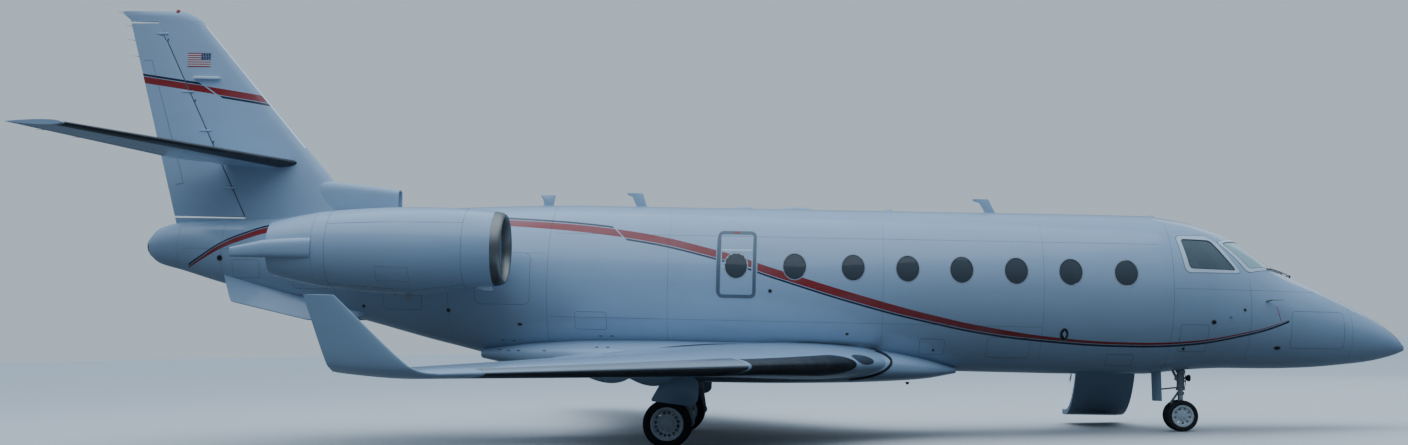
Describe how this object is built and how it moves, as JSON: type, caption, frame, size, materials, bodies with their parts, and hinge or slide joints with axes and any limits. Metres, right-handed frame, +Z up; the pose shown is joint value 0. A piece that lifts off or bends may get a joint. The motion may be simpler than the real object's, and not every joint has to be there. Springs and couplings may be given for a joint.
{
  "type": "business jet",
  "caption": "Twin-engine business jet with swept wings, winglets and a mid-set tailplane, parked on its gear with the airstair down.",
  "frame": {"origin": "on the ground under the middle of the aeroplane's length and span", "axes": "+X towards the nose, +Y towards the port side with the airstair, +Z up"},
  "size_m": [19.0659, 17.6836, 6.6406],
  "materials": {
    "white_paint": "gloss",
    "bare_metal": "satin",
    "dark_metal": "satin",
    "leg_paint": "satin",
    "wheel_rim": "satin",
    "tyre_rubber": "matte",
    "cabin_glass": "gloss",
    "cabin_lining": "matte"
  },
  "bodies": {
    "airframe": {"radome": "white_paint", "cockpit_shell": "white_paint", "cabin_shell": "white_paint", "overwing_exit": "white_paint", "aft_body": "white_paint", "tail_cone": "white_paint", "windshield_right": "cabin_glass", "windshield_left": "cabin_glass", "side_window_right": "cabin_glass", "side_window_left": "cabin_glass", "cabin_windows_right": "cabin_glass", "cabin_windows_left": "cabin_glass", "cabin_floor": "cabin_lining", "cabin_seats_right": "cabin_lining", "cabin_seats_left": "cabin_lining", "belly_fairing": "white_paint", "wing_right": "white_paint", "wing_left": "white_paint", "winglet_right": "white_paint", "winglet_left": "white_paint", "flap_right": "white_paint", "flap_left": "white_paint", "fin": "white_paint", "tailplane": "white_paint", "strake_right": "white_paint", "strake_left": "white_paint", "inlet_lip_right": "bare_metal", "inlet_lip_left": "bare_metal", "nacelle_right": "white_paint", "nacelle_left": "white_paint", "rear_cowl_right": "bare_metal", "rear_cowl_left": "bare_metal", "engine_right": "dark_metal", "engine_left": "dark_metal", "pylon_right": "white_paint", "pylon_left": "white_paint", "nose_leg": "leg_paint", "main_leg_right": "leg_paint", "main_leg_left": "leg_paint", "main_leg_door_right": "white_paint", "main_leg_door_left": "white_paint"},
    "airstair": {"airstair_door": "white_paint", "airstair_steps": "bare_metal"},
    "nose_steering": {"nose_lower_leg": "bare_metal"},
    "nose_wheels": {"nose_hubs": "wheel_rim", "nose_tyre_right": "tyre_rubber", "nose_tyre_left": "tyre_rubber"},
    "main_wheels_right": {"main_right_hubs": "wheel_rim", "main_right_tyre_right": "tyre_rubber", "main_right_tyre_left": "tyre_rubber"},
    "main_wheels_left": {"main_left_hubs": "wheel_rim", "main_left_tyre_right": "tyre_rubber", "main_left_tyre_left": "tyre_rubber"},
    "fan_rotor_right": {"fan_right": "dark_metal"},
    "fan_rotor_left": {"fan_left": "dark_metal"},
    "rudder_surface": {"rudder": "white_paint"},
    "elevator_surface_right": {"elevator_right": "white_paint"},
    "elevator_surface_left": {"elevator_left": "white_paint"},
    "aileron_surface_right": {"aileron_right": "white_paint"},
    "aileron_surface_left": {"aileron_left": "white_paint"}
  },
  "joints": [
    {"name": "airstair_hinge", "type": "hinge", "parent": "airframe", "child": "airstair", "pos_m": [5.4702, 0.8652, 1.1868], "axis": [0.9992, 0, -0.041], "range_deg": [0, 132]},
    {"name": "nose_steer", "type": "hinge", "parent": "airframe", "child": "nose_steering", "pos_m": [6.319, 0, 0.225], "axis": [0.041, 0, 0.9992], "range_deg": [-60, 60]},
    {"name": "nose_wheels_spin", "type": "hinge", "parent": "nose_steering", "child": "nose_wheels", "pos_m": [6.319, 0, 0.225], "axis": [0, 1, 0], "continuous": true},
    {"name": "main_wheels_right_spin", "type": "hinge", "parent": "airframe", "child": "main_wheels_right", "pos_m": [-1.029, -1.65, 0.335], "axis": [0, 1, 0], "continuous": true},
    {"name": "main_wheels_left_spin", "type": "hinge", "parent": "airframe", "child": "main_wheels_left", "pos_m": [-1.029, 1.65, 0.335], "axis": [0, 1, 0], "continuous": true},
    {"name": "fan_right_spin", "type": "hinge", "parent": "airframe", "child": "fan_rotor_right", "pos_m": [-4.0435, -1.9, 2.755], "axis": [0.9992, 0, -0.041], "continuous": true},
    {"name": "fan_left_spin", "type": "hinge", "parent": "airframe", "child": "fan_rotor_left", "pos_m": [-4.0435, 1.9, 2.755], "axis": [0.9992, 0, -0.041], "continuous": true},
    {"name": "rudder_hinge", "type": "hinge", "parent": "airframe", "child": "rudder_surface", "pos_m": [-8.1879, 0, 4.9318], "axis": [-0.4079, 0, 0.913], "range_deg": [-25, 25]},
    {"name": "elevator_left_hinge", "type": "hinge", "parent": "airframe", "child": "elevator_surface_left", "pos_m": [-8.5555, 1.825, 4.3916], "axis": [-0.4043, 0.9124, 0.0642], "range_deg": [-17, 24]},
    {"name": "elevator_right_hinge", "type": "hinge", "parent": "airframe", "child": "elevator_surface_right", "pos_m": [-8.5555, -1.825, 4.3916], "axis": [0.4043, 0.9124, -0.0642], "range_deg": [-17, 24]},
    {"name": "aileron_left_hinge", "type": "hinge", "parent": "airframe", "child": "aileron_surface_left", "pos_m": [-2.9042, 6.85, 1.2682], "axis": [-0.3219, 0.9467, 0.0096], "range_deg": [-20, 20]},
    {"name": "aileron_right_hinge", "type": "hinge", "parent": "airframe", "child": "aileron_surface_right", "pos_m": [-2.9042, -6.85, 1.2682], "axis": [0.3219, 0.9467, -0.0096], "range_deg": [-20, 20]}
  ],
  "couplings": [
    {"joint": "elevator_right_hinge", "follows": "elevator_left_hinge", "ratio": 1},
    {"joint": "aileron_right_hinge", "follows": "aileron_left_hinge", "ratio": -1}
  ]
}
